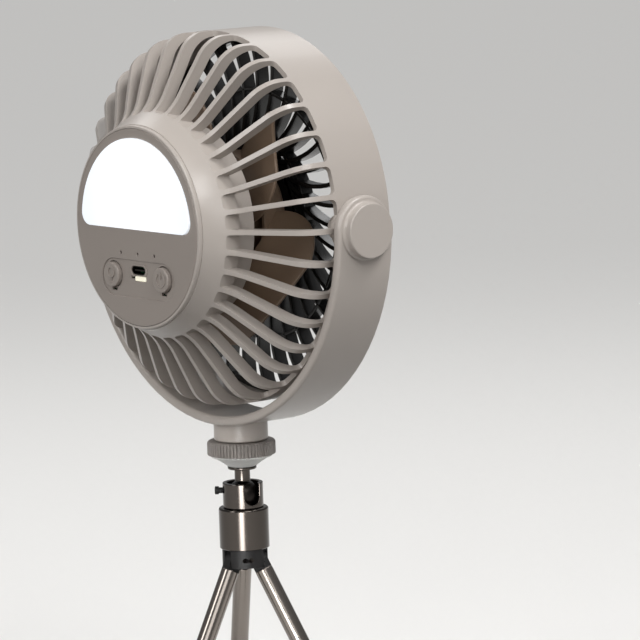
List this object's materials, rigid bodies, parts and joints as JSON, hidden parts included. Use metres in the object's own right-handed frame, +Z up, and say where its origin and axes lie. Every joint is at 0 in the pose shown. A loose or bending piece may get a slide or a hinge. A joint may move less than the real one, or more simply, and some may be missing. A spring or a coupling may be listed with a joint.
{
  "type": "portable camping fan",
  "caption": "Small drum fan with a rear lamp and buttons, tilting in a half-ring yoke on a ball joint and a folding telescopic tripod.",
  "frame": {"origin": "on the floor at the middle of the box around the standing fan", "axes": "+Z up, the air outlet faces -Y, the lamp and buttons face +Y, the tilt axis runs along X"},
  "size_m": [0.174, 0.0856, 0.3071],
  "materials": {
    "warm_grey_plastic": "satin",
    "dark_grey_plastic": "matte",
    "taupe_panel": "matte",
    "button_grey": "matte",
    "opal_cover": "opal white",
    "white_board": "matte",
    "led_lens": "clear",
    "green_board": "solder mask",
    "plated_steel": "bright",
    "black_plastic": "matte",
    "cell_wrap": "shrink wrap",
    "brown_plastic": "matte",
    "electrical_steel": "dull",
    "copper_wire": "enamelled",
    "brass": "knurled",
    "white_nylon": "matte",
    "nut_taupe": "matte",
    "cone_grey": "fine turned",
    "chrome": "polished",
    "black_rubber": "matte"
  },
  "bodies": {
    "head": {"rear_housing": "warm_grey_plastic", "front_grille": "dark_grey_plastic", "control_panel": "taupe_panel", "light_lens": "opal_cover", "light_board": "white_board", "lamp_leds": "led_lens", "control_board": "green_board", "usb_socket": "plated_steel", "charge_window": "led_lens", "indicator_lights": "black_plastic", "tact_switches": "black_plastic", "battery_cell": "cell_wrap", "battery_cradle": "black_plastic", "motor_tub": "brown_plastic", "motor_base": "black_plastic", "motor_bearings": "plated_steel", "motor_stator": "electrical_steel", "motor_coils": "copper_wire", "tub_screws": "plated_steel", "board_screws": "plated_steel", "motor_screws": "plated_steel", "pivot_inserts": "brass", "pivot_screws": "plated_steel"},
    "impeller": {"impeller": "brown_plastic", "motor_rotor": "electrical_steel", "rotor_magnet": "electrical_steel", "motor_shaft": "plated_steel", "shaft_clip": "plated_steel"},
    "light_button": {"light_button": "button_grey"},
    "power_button": {"power_button": "button_grey"},
    "yoke": {"yoke": "warm_grey_plastic", "pivot_caps": "warm_grey_plastic", "friction_washers": "white_nylon", "thread_insert": "brass"},
    "lock_nut": {"lock_nut": "nut_taupe", "nut_cone": "cone_grey"},
    "ball_stem": {"ball_stem": "chrome", "platform_disc": "chrome", "mount_stud": "plated_steel"},
    "tripod": {"ball_cup": "chrome", "ball_pad": "white_nylon", "body_tube": "chrome", "leg_hub": "black_plastic", "leg_pins": "plated_steel"},
    "lock_screw": {"lock_screw": "plated_steel"},
    "leg_back": {"knuckle_back": "black_plastic", "leg_outer_back": "chrome"},
    "leg_back_middle": {"leg_middle_back": "chrome"},
    "leg_back_inner": {"leg_inner_back": "chrome", "leg_foot_back": "black_rubber"},
    "leg_left": {"knuckle_left": "black_plastic", "leg_outer_left": "chrome"},
    "leg_left_middle": {"leg_middle_left": "chrome"},
    "leg_left_inner": {"leg_inner_left": "chrome", "leg_foot_left": "black_rubber"},
    "leg_right": {"knuckle_right": "black_plastic", "leg_outer_right": "chrome"},
    "leg_right_middle": {"leg_middle_right": "chrome"},
    "leg_right_inner": {"leg_inner_right": "chrome", "leg_foot_right": "black_rubber"}
  },
  "joints": [
    {"name": "leg_back_fold", "type": "hinge", "parent": "tripod", "child": "leg_back", "pos_m": [0, -0.00722, 0.0931], "axis": [-1, 0, 0], "range_deg": [0, 27]},
    {"name": "leg_back_slide_1", "type": "slide", "parent": "leg_back", "child": "leg_back_middle", "axis": [0, 0.454, -0.891], "range_m": [0, 0.065]},
    {"name": "leg_back_slide_2", "type": "slide", "parent": "leg_back_middle", "child": "leg_back_inner", "axis": [0, 0.454, -0.891], "range_m": [0, 0.065]},
    {"name": "leg_left_fold", "type": "hinge", "parent": "tripod", "child": "leg_left", "pos_m": [-0.00476, -0.01547, 0.0931], "axis": [0.5, -0.866, 0], "range_deg": [0, 27]},
    {"name": "leg_left_slide_1", "type": "slide", "parent": "leg_left", "child": "leg_left_middle", "axis": [-0.3932, -0.227, -0.891], "range_m": [0, 0.065]},
    {"name": "leg_left_slide_2", "type": "slide", "parent": "leg_left_middle", "child": "leg_left_inner", "axis": [-0.3932, -0.227, -0.891], "range_m": [0, 0.065]},
    {"name": "leg_right_fold", "type": "hinge", "parent": "tripod", "child": "leg_right", "pos_m": [0.00476, -0.01547, 0.0931], "axis": [0.5, 0.866, 0], "range_deg": [0, 27]},
    {"name": "leg_right_slide_1", "type": "slide", "parent": "leg_right", "child": "leg_right_middle", "axis": [0.3932, -0.227, -0.891], "range_m": [0, 0.065]},
    {"name": "leg_right_slide_2", "type": "slide", "parent": "leg_right_middle", "child": "leg_right_inner", "axis": [0.3932, -0.227, -0.891], "range_m": [0, 0.065]},
    {"name": "ball_tilt", "type": "hinge", "parent": "tripod", "child": "ball_stem", "pos_m": [0, -0.01272, 0.1188], "axis": [-0.1392, -0.9903, 0], "range_deg": [-15, 90]},
    {"name": "lock_screw_turn", "type": "hinge", "parent": "tripod", "child": "lock_screw", "pos_m": [0.00636, -0.00636, 0.1206], "axis": [0.7071, 0.7071, 0], "continuous": true},
    {"name": "fan_pan", "type": "hinge", "parent": "ball_stem", "child": "yoke", "pos_m": [0, -0.01272, 0.2321], "axis": [0, 0, 1], "continuous": true},
    {"name": "nut_turn", "type": "hinge", "parent": "ball_stem", "child": "lock_nut", "pos_m": [0, -0.01272, 0.1361], "axis": [0, 0, 1], "continuous": true},
    {"name": "head_tilt", "type": "hinge", "parent": "yoke", "child": "head", "pos_m": [0, -0.01272, 0.2321], "axis": [1, 0, 0], "continuous": true},
    {"name": "fan_spin", "type": "hinge", "parent": "head", "child": "impeller", "pos_m": [0, -0.01272, 0.2321], "axis": [0, -1, 0], "continuous": true},
    {"name": "light_button_press", "type": "slide", "parent": "head", "child": "light_button", "axis": [0, -1, 0], "range_m": [0, 0.0004], "stiffness_N_per_m": 1500},
    {"name": "power_button_press", "type": "slide", "parent": "head", "child": "power_button", "axis": [0, -1, 0], "range_m": [0, 0.0004], "stiffness_N_per_m": 1500}
  ]
}
